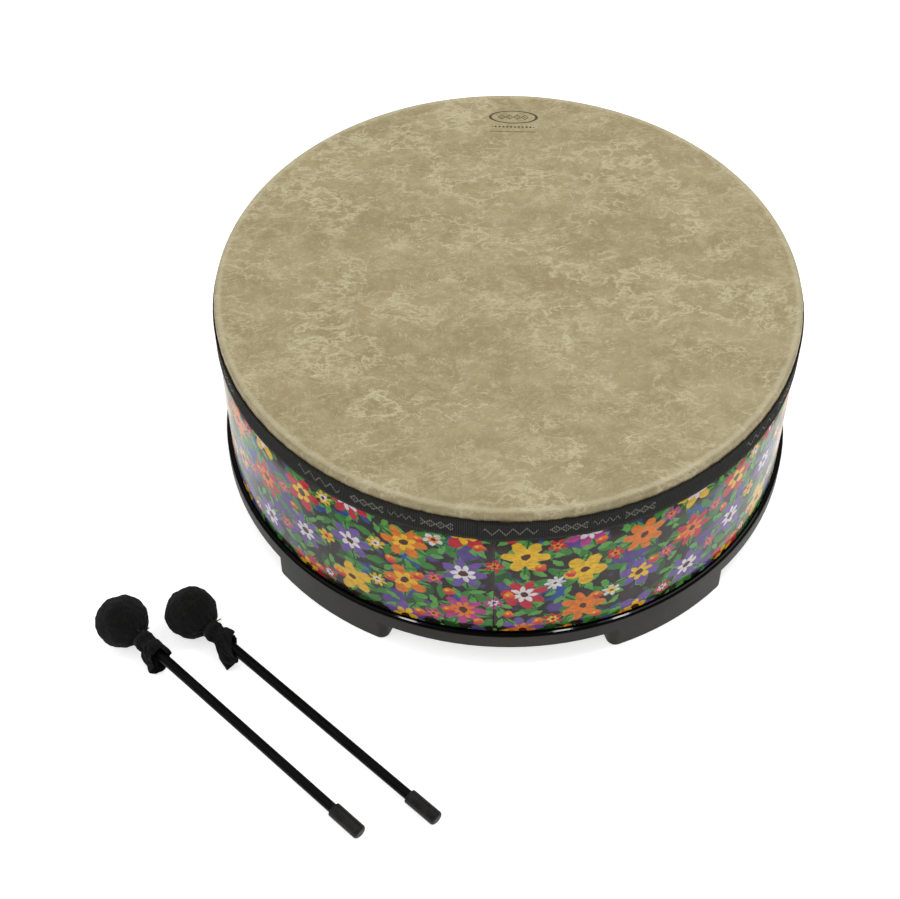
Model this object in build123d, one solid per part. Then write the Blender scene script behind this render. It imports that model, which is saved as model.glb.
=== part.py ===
"""A floor-standing frame drum with its pair of mallets, one STEP file per piece.

Millimetres, +Z up. The origin is on the drum's axis, at the floor that its feet stand on.
The drum is a bent shell with a film head bonded over it, a webbing band over the head's skirt,
a decorated wrap, and a moulded ring with five feet. Two mallets lie on the floor beside it.
"""
from build123d import *
from math import asin, atan2, degrees, hypot, sqrt
import os

# ---- Drum: driving dimensions ----
head_diameter = 558.8  # over the head's skirt, a 22 inch head
overall_height = 222.0  # floor to playing surface

film_thickness = 0.5
film_shoulder = 4.0  # outside radius where the film turns down over the bearing edge
film_skirt = 25.0  # playing surface to the skirt's lower edge

glue_line = 0.1  # between the shell and what is bonded round it
shell_wall = 6.4
bearing_round = 2.0  # inner edge of the shell's top

webbing_width = 25.4
webbing_thickness = 1.4
webbing_drop = 10.0  # playing surface to the webbing's upper edge
webbing_lap_length = 20.0  # the band's end, glued over its start
webbing_lap_azimuth = -94.0

wrap_thickness = 0.6
wrap_top_gap = 1.0  # under the head's skirt
wrap_seam_gap = 0.4
wrap_seam_azimuth = -91.0

# ---- Foot ring ----
foot_height = 26.3  # floor to the ring's underside between the feet
ring_web = 3.7  # the seat that the shell's lower edge stands on
channel_depth = 13.7  # how deep the shell sits in the ring
ring_outer_wall = 4.7
ring_inner_wall = 4.2
wrap_clearance = 0.3  # outer wall to the wrap
shell_clearance = 0.2  # inner wall to the shell's inside
wrap_lift = 1.0  # the wrap's lower edge above the seat
ledge_round = 2.2  # the ledge's outer edge
ledge_inner_round = 0.8
foot_count = 5
foot_span = 28.0  # degrees of the ring that one foot takes
first_foot_azimuth = 90.0
foot_end_round = 9.0  # the upright corners of a foot's ends, on the outside
foot_corner = 2.0  # the lower edge of a foot's ends
foot_sole = 4.0
foot_end_wall = 14.0  # pocket to the end of the foot, along the ring
pocket_rib = 2.6
pockets_per_foot = 3

# ---- Mallets ----
ball_diameter = 50.8
cover_wall = 3.0
cover_ease = 0.1  # core to the cover's inside, and rod to its bores
neck_diameter = 16.4
neck_length = 4.5  # past the ball, where the tie grips the cover
tail_length = 29.5
tail_diameter = 32.0
rod_diameter = 9.5
rod_bury = 14.0  # how far the rod goes past the ball's centre
mallet_reach = 315.0  # ball centre to the butt end
tie_thread = 1.6
cap_diameter = 14.0
cap_length = 34.0
cap_end_wall = 3.0
cap_end_round = 3.0
cap_lip_round = 1.0
mallet_places = {  # ball centre x, y and the direction that the rod points, in degrees
    "left": (-355.1, -267.9, -40.3),
    "right": (-291.3, -255.3, -39.5),
}

# ---- Derived sizes of the drum, from the outside in ----
film_radius = head_diameter / 2
film_inner_radius = film_radius - film_thickness
film_underside = overall_height - film_thickness
film_skirt_low = overall_height - film_skirt
shell_radius = film_inner_radius - glue_line
shell_inner_radius = shell_radius - shell_wall
wrap_inner_radius = shell_radius + glue_line
wrap_radius = wrap_inner_radius + wrap_thickness
webbing_inner_radius = max(film_radius, wrap_radius) + glue_line
webbing_radius = webbing_inner_radius + webbing_thickness
webbing_high = overall_height - webbing_drop
webbing_low = webbing_high - webbing_width

seat_z = foot_height + ring_web
ledge_z = seat_z + channel_depth
channel_outer_radius = wrap_radius + wrap_clearance
channel_inner_radius = shell_inner_radius - shell_clearance
ring_radius = channel_outer_radius + ring_outer_wall
ring_bore = channel_inner_radius - ring_inner_wall
foot_pitch = 360 / foot_count
gap_span = foot_pitch - foot_span

ON_FLOOR = (Align.CENTER, Align.CENTER, Align.MIN)
ABOUT_AXIS = (Align.NONE, Align.NONE, Align.MIN)


def drum_disc(radius, low, high, shoulder=0.0):
    """A solid disc on the drum's axis, its upper edge rounded by shoulder."""
    disc = Pos(0, 0, low) * Cylinder(radius, high - low, align=ON_FLOOR)
    if shoulder:
        disc = fillet(disc.edges().filter_by(GeomType.CIRCLE).sort_by(Axis.Z)[-1], shoulder)
    return disc


def drum_band(inner, outer, low, high):
    """A plain ring on the drum's axis."""
    return drum_disc(outer, low, high) - drum_disc(inner, low, high)


def drum_sector(inner, outer, low, high, azimuth, span):
    """The part of a ring that spans so many degrees about an azimuth."""
    turn = Rot(0, 0, azimuth - span / 2)
    wedge = turn * Cylinder(outer, high - low, arc_size=span, align=ABOUT_AXIS)
    if inner:
        wedge = wedge - turn * Cylinder(inner, high - low, arc_size=span, align=ABOUT_AXIS)
    return Pos(0, 0, low) * wedge


def arc_degrees(length, radius):
    """The angle that a length along the ring takes at a radius."""
    return degrees(length / radius)


def make_shell():
    """Bent fibre-composite tube: rounded outside at the top as the head's bearing edge."""
    blank = drum_disc(shell_radius, seat_z, film_underside, film_shoulder - film_thickness - glue_line)
    shell = blank - drum_disc(shell_inner_radius, seat_z, film_underside)
    top_edges = shell.edges().filter_by(GeomType.CIRCLE).group_by(Axis.Z)[-1]
    return fillet(top_edges.sort_by(lambda edge: edge.radius)[0], bearing_round)


def make_head():
    """The film: a shallow cup that lies on the bearing edge, its skirt bonded round the shell."""
    outside = drum_disc(film_radius, film_skirt_low, overall_height, film_shoulder)
    inside = drum_disc(film_inner_radius, film_skirt_low, film_underside, film_shoulder - film_thickness)
    return outside - inside


def make_webbing():
    """Woven band over the skirt's lower edge, its end lapped over its start."""
    band = drum_band(webbing_inner_radius, webbing_radius, webbing_low, webbing_high)
    lap_span = arc_degrees(webbing_lap_length, webbing_radius)
    lap = drum_sector(
        webbing_inner_radius,
        webbing_radius + webbing_thickness,
        webbing_low,
        webbing_high,
        webbing_lap_azimuth + lap_span / 2,
        lap_span,
    )
    return band + lap


def make_wrap():
    """Decorated laminate round the shell, from inside the foot ring up to the skirt, butted at its seam."""
    low = seat_z + wrap_lift
    high = film_skirt_low - wrap_top_gap
    seam_span = arc_degrees(wrap_seam_gap, wrap_radius)
    seam = drum_sector(0, wrap_radius + wrap_thickness, low, high, wrap_seam_azimuth, seam_span)
    return drum_band(wrap_inner_radius, wrap_radius, low, high) - seam


def make_foot_ring():
    """Moulded U-channel that holds the shell's lower edge, standing on cored feet with open gaps between."""
    ring = drum_disc(ring_radius, 0, ledge_z, ledge_round) - drum_disc(ring_bore, 0, ledge_z)
    for k in range(foot_count):
        gap_azimuth = first_foot_azimuth + (k + 0.5) * foot_pitch
        ring -= drum_sector(0, ring_radius + 1, 0, foot_height, gap_azimuth, gap_span)
    upright = ring.edges().filter_by(Axis.Z).filter_by_position(Axis.Z, 1, foot_height - 1)
    ring = fillet([edge for edge in upright if hypot(edge.center().X, edge.center().Y) > ring_bore + 1], foot_end_round)
    straight = ring.edges().filter_by(GeomType.LINE)
    ring = fillet(straight.filter_by_position(Axis.Z, -0.01, 0.01), foot_corner)

    ring -= drum_band(channel_inner_radius, channel_outer_radius, seat_z, ledge_z)
    rims = ring.edges().filter_by(GeomType.CIRCLE).filter_by_position(Axis.Z, ledge_z - 0.01, ledge_z + 0.01)
    channel_rims = [rim for rim in rims if ring_bore + 1 < rim.radius < ring_radius - ledge_round - 1]
    ring = fillet(channel_rims, ledge_inner_round)

    cored_span = foot_span - 2 * arc_degrees(foot_end_wall, channel_outer_radius)
    rib_span = arc_degrees(pocket_rib, channel_outer_radius)
    pocket_span = (cored_span - (pockets_per_foot - 1) * rib_span) / pockets_per_foot
    for k in range(foot_count):
        foot_azimuth = first_foot_azimuth + k * foot_pitch
        for p in range(pockets_per_foot):
            azimuth = foot_azimuth - cored_span / 2 + pocket_span / 2 + p * (pocket_span + rib_span)
            ring -= drum_sector(
                channel_inner_radius, channel_outer_radius, foot_sole, seat_z, azimuth, pocket_span
            )
    return ring


# ---- Derived sizes of a mallet: the ball's centre is its origin and the rod runs along +X ----
ball_radius = ball_diameter / 2
core_radius = ball_radius - cover_wall - cover_ease
rod_radius = rod_diameter / 2
rod_bore_radius = rod_radius + cover_ease
neck_radius = neck_diameter / 2
neck_start = sqrt(ball_radius**2 - neck_radius**2)  # where the neck leaves the ball
neck_end = neck_start + neck_length
cap_radius = cap_diameter / 2
rod_end = mallet_reach - cap_end_wall

# The mallet rests on its ball and on the rounded edge of its end cap, so its axis slopes down to the butt.
edge_x = mallet_reach - cap_end_round
edge_r = cap_radius - cap_end_round
mallet_tilt = degrees(asin((ball_radius - cap_end_round) / hypot(edge_x, edge_r)) - atan2(edge_r, edge_x))


def bar(radius, start, end):
    """A round bar along the mallet's axis."""
    return Pos(start, 0, 0) * Rot(0, 90, 0) * Cylinder(radius, end - start, align=ON_FLOOR)


def make_rod():
    return bar(rod_radius, -rod_bury, rod_end)


def make_core():
    """Rubber ball, bored to take the rod past its centre."""
    return Sphere(core_radius) - bar(rod_bore_radius, -rod_bury, ball_radius)


def make_cover():
    """Fleece round the ball, gathered to a neck on the rod."""
    ball = Sphere(ball_radius) - Sphere(core_radius + cover_ease)
    neck = bar(neck_radius, ball_radius - cover_wall / 2, neck_end)
    return ball + neck - bar(rod_bore_radius, 0, neck_end)


def make_tail():
    """The cover's spare cloth past the tie, flaring round the rod from the neck's end."""
    tail_end = neck_end + tail_length
    outline = Polygon(
        (neck_end, rod_bore_radius),
        (neck_end, neck_radius),
        (tail_end, tail_diameter / 2),
        (tail_end, tail_diameter / 2 - cover_wall),
        align=None,
    )
    return revolve(outline, Axis.X)


def make_tie():
    """Thread drawn tight round the neck."""
    thread_radius = tie_thread / 2
    hoop = Torus(neck_radius + cover_ease + thread_radius, thread_radius)
    return Pos(neck_end - thread_radius, 0, 0) * Rot(0, 90, 0) * hoop


def make_cap():
    """Rubber end cap, closed at the butt and pushed over the rod."""
    start = mallet_reach - cap_length
    cap = bar(cap_radius, start, mallet_reach)
    rims = cap.edges().filter_by(GeomType.CIRCLE).sort_by(Axis.X)
    cap = fillet(rims[-1], cap_end_round)
    cap = fillet(cap.edges().filter_by(GeomType.CIRCLE).sort_by(Axis.X)[0], cap_lip_round)
    return cap - bar(rod_bore_radius, start, rod_end)


drum_pieces = {
    "shell": make_shell(),
    "drumhead_film": make_head(),
    "head_webbing": make_webbing(),
    "shell_wrap": make_wrap(),
    "foot_ring": make_foot_ring(),
}
mallet_pieces = {
    "rod": make_rod(),
    "ball_core": make_core(),
    "ball_cover": make_cover(),
    "cover_tail": make_tail(),
    "neck_tie": make_tie(),
    "end_cap": make_cap(),
}

os.makedirs("parts", exist_ok=True)
for name, piece in drum_pieces.items():
    export_step(piece, f"parts/{name}.step")
for side, (x, y, azimuth) in mallet_places.items():
    lay = Pos(x, y, ball_radius) * Rot(0, 0, azimuth) * Rot(0, mallet_tilt, 0)
    for name, piece in mallet_pieces.items():
        export_step(lay * piece, f"parts/mallet_{side}_{name}.step")

print(f"ring radius {ring_radius:.2f}, ledge at {ledge_z:.1f}, mallet tilt {mallet_tilt:.3f} degrees")
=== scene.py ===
# %% [markdown]
# # A floor drum and its two mallets
#
# The drum is a bent wooden tube with a film glued over its top, a woven band over the film's edge,
# a printed sheet round its side, and a moulded ring with five feet under it.
# The CAD model already holds every piece at its real size, so this lesson only gives them their looks:
# stiff mouldings keep their CAD mesh and get a material, and thin or soft pieces get a finer mesh.
# We start by loading the CAD frame, which every size below is read from.

import bmesh
import bpy
from math import atan2, cos, pi, radians, sin, sqrt, tau
from mathutils import Matrix, Vector, noise


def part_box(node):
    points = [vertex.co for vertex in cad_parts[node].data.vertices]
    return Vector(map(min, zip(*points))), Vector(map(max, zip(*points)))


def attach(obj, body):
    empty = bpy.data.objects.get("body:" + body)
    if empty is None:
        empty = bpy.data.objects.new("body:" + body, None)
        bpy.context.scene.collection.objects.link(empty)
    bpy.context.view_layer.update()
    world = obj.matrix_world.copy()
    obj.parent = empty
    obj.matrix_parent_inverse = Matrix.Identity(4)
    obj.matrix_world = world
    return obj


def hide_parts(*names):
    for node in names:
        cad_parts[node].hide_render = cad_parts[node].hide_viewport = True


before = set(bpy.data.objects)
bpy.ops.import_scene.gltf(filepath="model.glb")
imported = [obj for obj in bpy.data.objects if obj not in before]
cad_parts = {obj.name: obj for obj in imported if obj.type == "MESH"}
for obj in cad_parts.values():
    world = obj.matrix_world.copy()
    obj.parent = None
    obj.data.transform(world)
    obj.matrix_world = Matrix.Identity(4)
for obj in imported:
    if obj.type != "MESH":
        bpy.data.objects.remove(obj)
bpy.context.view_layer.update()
MM = 0.001
print("CAD pieces:", ", ".join(sorted(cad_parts)))

# %% [markdown]
# ## Sizes
#
# The drum stands on the origin, so half of a box's width is a radius and its corners' heights are
# heights above the floor.

# %% Read the drum's sizes
film_low, film_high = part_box("drumhead_film")
band_low, band_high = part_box("head_webbing")
wrap_low, wrap_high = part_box("shell_wrap")
ring_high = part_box("foot_ring")[1]

FILM_RADIUS = film_high.x
HEAD_HEIGHT = film_high.z
BAND_RADIUS = band_high.x
WRAP_RADIUS = wrap_high.x
RING_RADIUS = ring_high.x
print(f"head {2 * FILM_RADIUS:.4f} m across at {HEAD_HEIGHT:.3f} m, foot ring {2 * RING_RADIUS:.3f} m across")

# %% [markdown]
# ## The camera
#
# The drum is seen from a standing person's height, about 1.9 m away, through a mild telephoto lens.
# Turning a camera is three rotations in a row: round the upright, then the tilt down, then a little roll.

# %% Place the camera
def add_object(name, data):
    """A new object in the scene."""
    new = bpy.data.objects.new(name, data)
    bpy.context.scene.collection.objects.link(new)
    return new


CAMERA_PLACE = (0.0, -1.23012, 1.44352)
CAMERA_TURN = radians(2.616)
CAMERA_TILT = radians(90 - 50.085)
CAMERA_ROLL = radians(-0.417)
LENS_MM = 72.554

camera_data = bpy.data.cameras.new("studio_camera")
camera_data.lens = LENS_MM
camera = add_object("studio_camera", camera_data)
camera.matrix_world = (
    Matrix.Translation(CAMERA_PLACE)
    @ Matrix.Rotation(CAMERA_TURN, 4, "Z")
    @ Matrix.Rotation(CAMERA_TILT, 4, "X")
    @ Matrix.Rotation(CAMERA_ROLL, 4, "Z")
)
bpy.context.scene.camera = camera
print(f"camera {sqrt(sum(c * c for c in CAMERA_PLACE)):.2f} m from the drum's foot")

# %% [markdown]
# ## Small helpers for materials
#
# A material is a graph of nodes. Small helpers keep the graphs readable: `put` adds any node and fills its
# inputs with values or links, `calc` does arithmetic, and `coat` mixes colours as a painter lays coats.

# %% Helpers that place nodes
def fill_inputs(tree, node, inputs):
    """Gives a node's inputs plain values or links, and returns the node."""
    for socket, value in inputs.items():
        if isinstance(value, bpy.types.NodeSocket):
            tree.links.new(value, node.inputs[socket])
        else:
            node.inputs[socket].default_value = value
    return node


def put(tree, kind, inputs, **settings):
    """Adds a node, sets its properties and fills its inputs."""
    new = tree.nodes.new("ShaderNode" + kind)
    for name, setting in settings.items():
        setattr(new, name, setting)
    return fill_inputs(tree, new, inputs)


def calc(tree, operation, *values):
    """One step of arithmetic on numbers."""
    return put(tree, "Math", dict(enumerate(values)), operation=operation).outputs[0]


def times(tree, first, second):
    return calc(tree, "MULTIPLY", first, second)


def plus(tree, first, second):
    return calc(tree, "ADD", first, second)


def minus(tree, first, second):
    return calc(tree, "SUBTRACT", first, second)


def larger(tree, first, second):
    return calc(tree, "MAXIMUM", first, second)


def size_of(tree, value):
    """A number without its sign."""
    return calc(tree, "ABSOLUTE", value)


def vector_calc(tree, operation, *values):
    """One step of arithmetic on vectors; a length or a dot product comes out as a number."""
    new = put(tree, "VectorMath", dict(enumerate(values)), operation=operation)
    gives_number = operation in ("LENGTH", "DOT_PRODUCT", "DISTANCE")
    return new.outputs["Value" if gives_number else "Vector"]


def fade(tree, value, start, end, low=0.0, high=1.0):
    """Goes smoothly from low to high as value goes from start to end."""
    span = {"Value": value, "From Min": start, "From Max": end, "To Min": low, "To Max": high}
    return put(tree, "MapRange", span, interpolation_type="SMOOTHSTEP").outputs["Result"]


def coat(tree, mask, below, above, blend_type="MIX"):
    """Lays a colour over another where the mask is white."""
    return put(tree, "Mix", {0: mask, 6: below, 7: above}, data_type="RGBA", blend_type=blend_type).outputs[2]


def cloud(tree, vector, scale, detail=3.0, roughness=0.5, distortion=0.0):
    """Soft noise from 0 to 1, most of it near a half."""
    inputs = {
        "Vector": vector, "Scale": scale, "Detail": detail, "Roughness": roughness, "Distortion": distortion,
    }
    return put(tree, "TexNoise", inputs).outputs["Fac"]


def part(tree, vector, axis):
    """One coordinate of a vector."""
    return put(tree, "SeparateXYZ", {0: vector}).outputs["XYZ".index(axis)]


def point(tree, x, y, z=0.0):
    """A vector from its coordinates."""
    return put(tree, "CombineXYZ", {"X": x, "Y": y, "Z": z}).outputs[0]


def colour(red, green, blue):
    """A colour written as it looks on a screen, 0 to 255, as the linear values that shaders take."""
    def linear(c):
        c = c / 255
        return c / 12.92 if c <= 0.04045 else ((c + 0.055) / 1.055) ** 2.4
    return (linear(red), linear(green), linear(blue), 1.0)


def start_material(name, values):
    """A material whose Principled BSDF has these plain values on its own sockets."""
    material = bpy.data.materials.new(name)
    material.use_nodes = True
    shader = material.node_tree.nodes["Principled BSDF"]
    for socket, value in values.items():
        shader.inputs[socket].default_value = value
    return material, material.node_tree, shader


def finish_shader(tree, shader, base, roughness=None, normal=None):
    """Links a finish's colour, and its roughness and normal where they vary."""
    for socket, value in (("Base Color", base), ("Roughness", roughness), ("Normal", normal)):
        if value is not None:
            tree.links.new(value, shader.inputs[socket])


def object_millimetres(tree):
    """Object coordinates in millimetres, so that pattern sizes below read as real sizes."""
    place = put(tree, "TexCoord", {}).outputs["Object"]
    return put(tree, "Mapping", {"Vector": place, "Scale": (1000, 1000, 1000)}).outputs[0]


def bump(tree, height, strength, distance):
    """A normal from a height map; distance is how far a height of 1 stands out, in metres."""
    return put(tree, "Bump", {"Height": height, "Strength": strength, "Distance": distance}).outputs[0]


def start_group(name, inputs, outputs):
    """A shader node group with named sockets."""
    group = bpy.data.node_groups.new(name, "ShaderNodeTree")
    for socket, kind in inputs.items():
        group.interface.new_socket(socket, in_out="INPUT", socket_type="NodeSocket" + kind)
    for socket in outputs:
        group.interface.new_socket(socket, in_out="OUTPUT", socket_type="NodeSocketFloat")
    return group, group.nodes.new("NodeGroupInput").outputs, group.nodes.new("NodeGroupOutput").inputs


def place_group(tree, group, inputs):
    """Places a group in a material with its own values."""
    new = tree.nodes.new("ShaderNodeGroup")
    new.node_tree = group
    return fill_inputs(tree, new, inputs)


def use_group(tree, group, inputs, output=0):
    """Places a group and gives one of its outputs."""
    return place_group(tree, group, inputs).outputs[output]


print("node helpers ready")

# %% [markdown]
# ## Small helpers for meshes
#
# A finished piece's object sits at the origin with its place in its mesh, as the CAD pieces do.

# %% Helpers that finish meshes
def mesh_data(name, mesh):
    """Finished mesh data from a bmesh, which is used up."""
    data = bpy.data.meshes.new(name)
    mesh.to_mesh(data)
    mesh.free()
    return data


def finish_piece(name, mesh, body, material, stands_for=()):
    """Makes the object; mesh is a bmesh, which is used up, or finished mesh data."""
    data = mesh_data(name, mesh) if isinstance(mesh, bmesh.types.BMesh) else mesh
    data.shade_smooth()
    data.materials.clear()
    data.materials.append(material)
    piece = add_object(name, data)
    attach(piece, body)
    if stands_for:
        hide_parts(*stands_for)
    print(f"{name}: {len(data.polygons)} faces")
    return piece


def thicken(piece, thickness, offset, even=True):
    """Gives a sheet its wall; offset 1 puts it outside the faces and -1 inside.
    An even wall suits smooth shapes, but it would throw out spikes at the tight folds of cloth."""
    wall = piece.modifiers.new("wall", "SOLIDIFY")
    wall.thickness = thickness
    wall.offset = offset
    wall.use_even_offset = even
    return piece


def spin_outline(outline, steps, axis=(0, 0, 1)):
    """A round skin: the outline's (radius, height) points turned once about the axis."""
    mesh = bmesh.new()
    along, across = Vector(axis), Vector((0, 0, 1)).cross(Vector(axis))
    if across.length < 0.5:
        across = Vector((1, 0, 0))
    line = [mesh.verts.new(across * radius + along * height) for radius, height in outline]
    edges = [mesh.edges.new(pair) for pair in zip(line, line[1:])]
    bmesh.ops.spin(mesh, geom=line + edges, axis=along, cent=(0, 0, 0), angle=tau, steps=steps, use_merge=True)
    bmesh.ops.remove_doubles(mesh, verts=mesh.verts, dist=1e-6)
    bmesh.ops.recalc_face_normals(mesh, faces=mesh.faces)
    return mesh


def flat_strip(length, height, columns, rows):
    """A flat strip from x 0 to its length and y 0 to its height, whose UV map holds those millimetres."""
    mesh = bmesh.new()
    bmesh.ops.create_grid(mesh, x_segments=columns, y_segments=rows, size=0.5)
    bmesh.ops.translate(mesh, verts=mesh.verts, vec=(0.5, 0.5, 0))
    bmesh.ops.scale(mesh, verts=mesh.verts, vec=(length, height, 1))
    flat = mesh.loops.layers.uv.new("flat_mm")
    for face in mesh.faces:
        for loop in face.loops:
            loop[flat].uv = (loop.vert.co.x / MM, loop.vert.co.y / MM)
    return mesh


def flat_millimetres(tree):
    """The strip's own flat coordinates, in millimetres along and up."""
    return put(tree, "UVMap", {}, uv_map="flat_mm").outputs[0]


print("mesh helpers ready")

# %% [markdown]
# ## The studio
#
# The drum stands on a pale floor in even light. A big softbox hangs over its right rear, so the shadows
# fall softly towards the left front, and two weaker ones fill the sides. The floor and the sky both read
# as plain white to the camera, but glossy surfaces mirror a darker sky, as in a room with dim walls.
# Three narrow strips overhead make the short bright dashes on the ring's polished ledge.

# %% Floor, sky and lamps
FLOOR_SIZE = 12.0
FLOOR_LIFT = 0.64
SKY_LIGHT = 0.60
SKY_MIRRORED = 0.35
CEILING_STRIPS = ((-0.732, -0.147, 0.136), (0.511, -0.213, 0.138), (0.996, -0.03, 0.32))  # x, y, width
STRIP_HEIGHT = 3.0
STRIP_DEPTH = 0.14
STRIP_WATTS = 18  # for each metre of width


def is_seen_directly(tree):
    """1 for rays from the camera, and for those that a mirror or glass sends on."""
    path = put(tree, "LightPath", {}).outputs
    seen = larger(tree, path["Is Camera Ray"], path["Is Glossy Ray"])
    return larger(tree, seen, path["Is Transmission Ray"])


floor_mesh = bmesh.new()
bmesh.ops.create_grid(floor_mesh, x_segments=8, y_segments=8, size=FLOOR_SIZE / 2)
floor_data = mesh_data("studio_floor", floor_mesh)
studio_floor = add_object("studio_floor", floor_data)

floor_material, tree, shader = start_material(
    "pale_floor", {"Base Color": (0.9, 0.9, 0.9, 1), "Roughness": 0.9, "Specular IOR Level": 0.0}
)
shader.inputs["Emission Color"].default_value = (1, 1, 1, 1)
tree.links.new(times(tree, is_seen_directly(tree), FLOOR_LIFT), shader.inputs["Emission Strength"])
floor_data.materials.append(floor_material)

world = bpy.data.worlds.new("studio_sky")
bpy.context.scene.world = world
world.use_nodes = True
sky_tree = world.node_tree
sky = sky_tree.nodes["Background"]
sky.inputs["Color"].default_value = (1, 1, 1, 1)
sky_path = put(sky_tree, "LightPath", {}).outputs
sky_strength = fade(sky_tree, sky_path["Is Glossy Ray"], 0.0, 1.0, SKY_LIGHT, SKY_MIRRORED)
sky_strength = larger(sky_tree, sky_strength, sky_path["Is Camera Ray"])
sky_tree.links.new(sky_strength, sky.inputs["Strength"])


def softbox(name, place, aim, width, depth, watts):
    """A rectangular lamp at a place, facing a point."""
    data = bpy.data.lights.new(name, "AREA")
    data.shape = "RECTANGLE"
    data.size = width
    data.size_y = depth
    data.energy = watts
    lamp = add_object(name, data)
    facing = (Vector(aim) - Vector(place)).to_track_quat("-Z", "Y")
    lamp.matrix_world = Matrix.Translation(place) @ facing.to_matrix().to_4x4()


softbox("key_softbox", (0.9, 0.8, 2.4), (0, 0, 0.1), 1.6, 1.6, 17)
softbox("fill_softbox", (-1.6, -0.6, 2.0), (0, 0, 0.1), 1.2, 1.2, 5)
for number, (across, away, width) in enumerate(CEILING_STRIPS):
    place = (across, away, STRIP_HEIGHT)
    softbox(f"ceiling_strip_{number}", place, (0, -0.26, 0), width, STRIP_DEPTH, STRIP_WATTS * width)
bpy.context.scene.view_settings.view_transform = "Standard"
print("studio ready")

# %% [markdown]
# ## Effects that several finishes share
#
# A node group is a small machine with named inputs: built once, then placed in each material with its
# own values. The first draws fibres, as noise stretched along one direction until it breaks into strands.
# The second is the fine grain of moulded plastic.

# %% Shared groups
fibres, given, result = start_group("fibres", {
    "Vector": "Vector", "Turn": "Float", "Length": "Float", "Width": "Float", "Amount": "Float",
}, ["Mask"])
turning = {"Vector": given["Vector"], "Angle": given["Turn"]}
turned = put(fibres, "VectorRotate", turning, rotation_type="Z_AXIS")
size = point(fibres, given["Length"], given["Width"], 30.0)
strand = cloud(fibres, vector_calc(fibres, "DIVIDE", turned.outputs[0], size), 1.0, 1.0, 0.4)
threshold = minus(fibres, 1.0, given["Amount"])
fibres.links.new(
    fade(fibres, strand, threshold, plus(fibres, threshold, 0.10)), result["Mask"]
)

mould_grain, given, result = start_group("mould_grain", {"Vector": "Vector", "Size": "Float"}, ["Height"])
grain_size = point(mould_grain, given["Size"], given["Size"], given["Size"])
grain_place = vector_calc(mould_grain, "DIVIDE", given["Vector"], grain_size)
mould_grain.links.new(cloud(mould_grain, grain_place, 1.0, 2.0, 0.6), result["Height"])
print("groups:", fibres.name, mould_grain.name)

# %% [markdown]
# ## The playing head
#
# The head is polyester film with pale fibres laid in it. It is flat out to the shell's rounded edge,
# turns down over it, and ends as a skirt behind the woven band. A lathe shape suits it, so we draw half
# of its outline and spin it. Tiny puckers in the skirt show that a flat sheet was drawn over a round edge.

# %% Head mesh
HEAD_STEPS = 720
SHOULDER = 4.0 * MM
CREASE_RISE = 0.25 * MM
PUCKER = 0.35 * MM
FILM_THICKNESS = 0.5 * MM

flat_edge = FILM_RADIUS - SHOULDER
head_outline = [(r * flat_edge, HEAD_HEIGHT) for r in (0, 0.15, 0.3, 0.45, 0.6, 0.75, 0.88, 0.95, 0.98)]
head_outline.append((flat_edge - 1.2 * MM, HEAD_HEIGHT + 0.5 * CREASE_RISE))
for k in range(9):
    turn = k / 8 * pi / 2
    head_outline.append((
        flat_edge + SHOULDER * sin(turn),
        HEAD_HEIGHT - SHOULDER * (1 - cos(turn)) + CREASE_RISE * (k == 0),
    ))
skirt_top = HEAD_HEIGHT - SHOULDER
for share in (0.2, 0.4, 0.6, 0.8, 1.0):
    head_outline.append((FILM_RADIUS, skirt_top + share * (film_low.z - skirt_top)))

head_mesh = spin_outline(head_outline, HEAD_STEPS)
for vert in head_mesh.verts:
    below = (HEAD_HEIGHT - vert.co.z) / (HEAD_HEIGHT - film_low.z)
    if below > 0.02:
        angle = atan2(vert.co.y, vert.co.x)
        pucker = noise.noise(Vector((40 * cos(angle), 40 * sin(angle), 0.5))) * min(1, 3 * below)
        vert.co.xy *= 1 + PUCKER * (pucker - 0.6) / FILM_RADIUS
print("head outline has", len(head_outline), "points")

# %% [markdown]
# ## The head's colour
#
# Seen close, the film is tan with cloudy paler patches, all drawn out one way, and thousands of cream
# fibres a centimetre or two long. Each layer of fibres has its own direction and its own clouds, and the
# coordinates are pushed about by noise first, so that the strands curl.

# %% Head material
TAN_DARK = colour(156, 141, 103)
TAN = colour(169, 154, 115)
TAN_PALE = colour(183, 170, 132)
VEIN = colour(203, 192, 156)
CREAM = colour(214, 205, 172)
GRAIN_TURN = radians(-28)

head_film, tree, shader = start_material("head_film", {"Specular IOR Level": 0.3})
place = object_millimetres(tree)
curl = put(tree, "TexNoise", {"Vector": place, "Scale": 0.03, "Detail": 3.0}).outputs["Color"]
curled = vector_calc(tree, "ADD", place, vector_calc(tree, "MULTIPLY", curl, (15, 15, 0)))


def drawn_out(length, width, turn=GRAIN_TURN, shift=(0, 0, 0)):
    """The head's coordinates, stretched so that a blotch comes out at this length and width in mm."""
    scale = (1 / length, 1 / width, 0.02)
    return put(tree, "Mapping", {
        "Vector": curled, "Location": shift, "Rotation": (0, 0, turn), "Scale": scale,
    }).outputs[0]


def veins(field, level, half_width, areas):
    """Lines where a noise field crosses a level, stronger in some areas: the lines, and their mask."""
    lines = fade(tree, size_of(tree, minus(tree, field, level)), half_width, 0.0)
    return lines, times(tree, lines, areas)


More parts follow.
